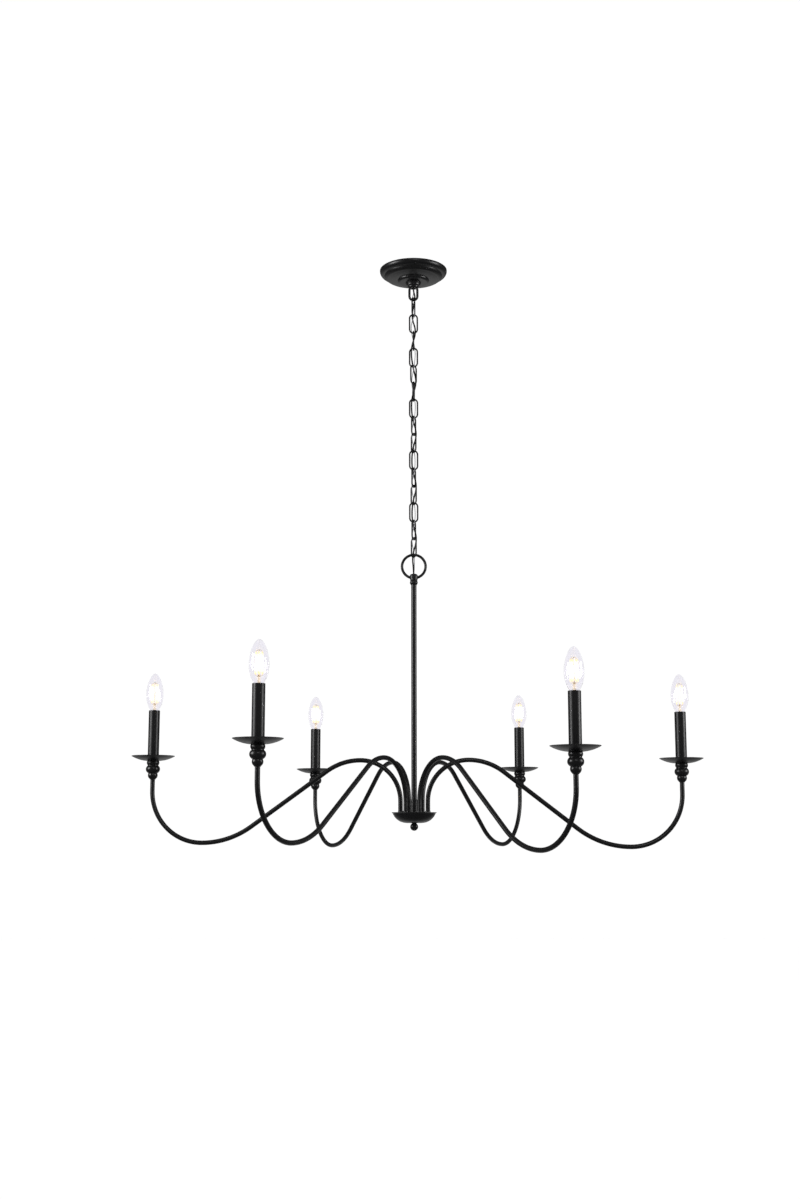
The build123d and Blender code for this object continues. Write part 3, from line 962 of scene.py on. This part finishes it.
@dataclass
class Wire:
    """A wire that winds down the chain on a smooth curve.

    Attributes:
        name: the wire's name.
        route: the corners of its route.
        radius: its radius in metres.
        sides: how many faces go round it.
        material: its cover.
        ring_step: how far apart its rings of vertices are, in metres.
    """

    name: str
    route: list[Point]
    radius: float
    sides: int
    material: bpy.types.Material
    ring_step: float = 1.2 * MM

    def line(self) -> Array:
        """The wire's centre line: a smooth spline of order 3 whose corners are the route's.

        Returns:
            The points along it, from the ceiling down.
        """
        data = bpy.data.curves.new(f"{self.name}_line", "CURVE")
        data.dimensions = "3D"
        spline = data.splines.new("NURBS")
        spline.points.add(len(self.route) - 1)
        for point, corner in zip(spline.points, self.route):
            point.co = (*(MM * c for c in corner), 1.0)
        spline.order_u = 3
        spline.use_endpoint_u = True
        spline.resolution_u = 24
        holder = bpy.data.objects.new(f"{self.name}_line", data)
        mesh = bpy.data.meshes.new_from_object(holder)
        points = np.empty(3 * len(mesh.vertices))
        mesh.vertices.foreach_get("co", points)
        bpy.data.objects.remove(holder)
        bpy.data.curves.remove(data)
        bpy.data.meshes.remove(mesh)
        return points.reshape(-1, 3)

    def build(self) -> None:
        """Makes the wire as one tube for each stretch: a stretch on one body rides on it, and one between two
        bodies stays where it is.
        """
        line = self.line()
        along = np.concatenate([[0], np.cumsum(np.linalg.norm(np.diff(line, axis=0), axis=1))])
        log.info("%s is %.3f m long", self.name, along[-1])
        cuts = [0.0] + [float(np.interp(-s.bottom, -line[:, 2], along)) for s in STRETCHES[:-1]] + [along[-1]]
        for number, stretch in enumerate(STRETCHES):
            length = cuts[number + 1] - cuts[number]
            places = np.linspace(cuts[number], cuts[number + 1], max(6, round(length / self.ring_step)))
            path = np.stack([np.interp(places, along, line[:, k]) for k in range(3)], axis=1)
            part = tube(path, np.full(len(path), self.radius), self.sides, (1.0, 0.0, 0.0))
            piece = make_piece(f"{self.name}_{number + 1}", [part], self.material)
            lay_strands(piece, places, self.sides, 1)
            if stretch.upper == stretch.lower:
                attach(piece, stretch.upper)
            else:
                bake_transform(piece)
            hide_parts("supply_cord")


@dataclass
class Supply(SubAssembly):
    """The supply cord and the earth wire, which the frame holds together as one node.

    Attributes:
        cord_radius: the supply cord's radius.
        earth_radius: the earth wire's radius.
    """

    cord_radius: float = 1.5 * MM
    earth_radius: float = 0.7 * MM

    def nodes(self) -> list[str]:
        """The name of the two wires' node in the frame."""
        return ["supply_cord"]

    def build(self) -> None:
        """Makes both wires."""
        Wire("supply_cord_run", CORD_ROUTE, self.cord_radius, 20, self.finishes.cord).build()
        Wire("earth_wire_run", EARTH_ROUTE, self.earth_radius, 12, self.finishes.earth).build()


# ---------------------------------------------------------------- studio
@dataclass
class Studio:
    """The pale floor, the soft lights and the camera.

    Attributes:
        floor_height: the floor's height above the ceiling plane, so it is below nought.
        floor_reach: how far the floor reaches to each side.
        camera_place: the camera's place.
        pitch: how far the camera looks up, in degrees.
        lens: its focal length in millimetres, on a film 36 mm high.
        shift: how far the film is raised, as a share of its height.
        surround: how bright the white surround is.
        room_above: how bright the room is in a satin reflection.
        room_glow: how much brighter the pale floor behind is.
        glow_way: the direction of that floor.
        glow_power: how closely that glow keeps to its direction.
        aim: where the lights point.
    """

    floor_height: float = -3.4
    floor_reach: float = 30.0
    camera_place: Point = (-0.026, -2.671, -1.079)
    pitch: float = 8.98
    lens: float = 43.3
    shift: float = 0.004
    surround: float = 1.02
    room_above: float = 0.05
    room_glow: float = 0.5
    glow_way: Point = (0.0, 0.89, -0.45)
    glow_power: float = 6.0
    aim: Point = (0.0, 0.0, -0.8)

    def floor(self) -> None:
        """A wide pale floor, well below the object."""
        mesh = bpy.data.meshes.new("floor")
        x = self.floor_reach * np.array([-1.0, 1.0, 1.0, -1.0])
        y = self.floor_reach * np.array([-1.0, -1.0, 1.0, 1.0])
        corners = np.stack([x, y, np.full(4, self.floor_height)], axis=1)
        mesh.from_pydata(corners, [], [[0, 1, 2, 3]])
        material = bpy.data.materials.new("pale_floor")
        material.use_nodes = True
        shader = material.node_tree.nodes["Principled BSDF"]
        shader.inputs["Base Color"].default_value = (0.99, 0.99, 0.99, 1.0)
        shader.inputs["Roughness"].default_value = 1.0
        shader.inputs["Specular IOR Level"].default_value = 0.0
        mesh.materials.append(material)
        floor = bpy.data.objects.new("floor", mesh)
        bpy.context.scene.collection.objects.link(floor)
        floor.visible_glossy = False

    def world(self) -> None:
        """A white surround, which clear glass sees white and satin gloss sees as a dim room.

        The room's brightness is room_above, and room_glow more towards the floor behind the object: it
        falls off as a power, glow_power, of the cosine between a direction and the glow's own.
        """
        world = bpy.data.worlds.new("white_surround")
        world.use_nodes = True
        tree = world.node_tree
        back = tree.nodes["Background"]
        back.inputs["Color"].default_value = (1.0, 1.0, 1.0, 1.0)
        path = tree.nodes.new("ShaderNodeLightPath")
        towards = tree.nodes.new("ShaderNodeVectorMath")
        towards.operation = "DOT_PRODUCT"
        towards.inputs[1].default_value = self.glow_way
        tree.links.new(tree.nodes.new("ShaderNodeTexCoord").outputs["Generated"], towards.inputs[0])
        ahead = math_node(tree, "MAXIMUM", towards.outputs["Value"], 0.0)
        glow = math_node(tree, "POWER", ahead, self.glow_power)
        glow = math_node(tree, "MULTIPLY", glow, self.room_glow)
        room = math_node(tree, "ADD", glow, self.room_above - self.surround)
        satin = math_node(tree, "SUBTRACT", path.outputs["Is Glossy Ray"], path.outputs["Is Singular Ray"])
        change = math_node(tree, "MULTIPLY", math_node(tree, "MAXIMUM", satin, 0.0), room)
        tree.links.new(math_node(tree, "ADD", change, self.surround), back.inputs["Strength"])
        bpy.context.scene.world = world
        bpy.context.scene.view_settings.view_transform = "Standard"

    def light(self, name: str, place: Point, size: float, power: float) -> None:
        """A soft square light that faces the middle of the object.

        Args:
            name: the light's name.
            place: where it stands.
            size: its width.
            power: its power in watts.
        """
        data = bpy.data.lights.new(name, "AREA")
        data.size = size
        data.energy = power
        lamp = bpy.data.objects.new(name, data)
        lamp.location = place
        way = np.array(self.aim) - np.array(place)
        tilt = math.atan2(math.hypot(way[0], way[1]), -way[2])
        lamp.rotation_euler = (tilt, 0.0, math.atan2(-way[0], way[1]))
        bpy.context.scene.collection.objects.link(lamp)

    def camera(self) -> None:
        """A camera a little below the hub, looking slightly up."""
        data = bpy.data.cameras.new("camera")
        data.sensor_fit = "VERTICAL"
        data.sensor_height = 36.0
        data.lens = self.lens
        data.shift_y = self.shift
        data.clip_end = 100.0
        view = bpy.data.objects.new("camera", data)
        view.location = self.camera_place
        view.rotation_euler = (math.radians(90 + self.pitch), 0.0, 0.0)
        bpy.context.scene.collection.objects.link(view)
        bpy.context.scene.camera = view

    def build(self) -> None:
        """Sets up the whole studio."""
        self.floor()
        self.world()
        self.light("left_softbox", (-2.4, -0.9, -0.3), 1.1, 34.0)
        self.light("right_softbox", (2.6, -0.7, -0.4), 1.0, 26.0)
        self.light("front_softbox", (0.3, -2.6, 0.5), 0.8, 7.0)
        self.camera()


def main() -> None:
    """Dresses and builds each sub-assembly in order around the frame, then the studio.

    Raises:
        ValueError: a node of the frame belongs to no sub-assembly.
    """
    logging.basicConfig(level=logging.INFO, format="%(name)s: %(message)s")
    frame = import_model()
    finishes = Finishes()
    bulbs = [Bulb(frame, finishes, number) for number in ARMS]
    supply = Supply(frame, finishes)
    carried = [CeilingMount(frame, finishes), Chain(frame, finishes), Fixture(frame, finishes)]
    carried += [CandleArm(frame, finishes, number) for number in ARMS]
    dressed = {name for part in [*carried, *bulbs, supply] for name in part.dress()}
    bare = set(frame["nodes"]) - dressed
    if bare:
        raise ValueError(f"no sub-assembly holds {sorted(bare)}")
    for bulb in bulbs:
        bulb.build()
    supply.build()
    Studio().build()


if __name__ == "__main__":
    main()
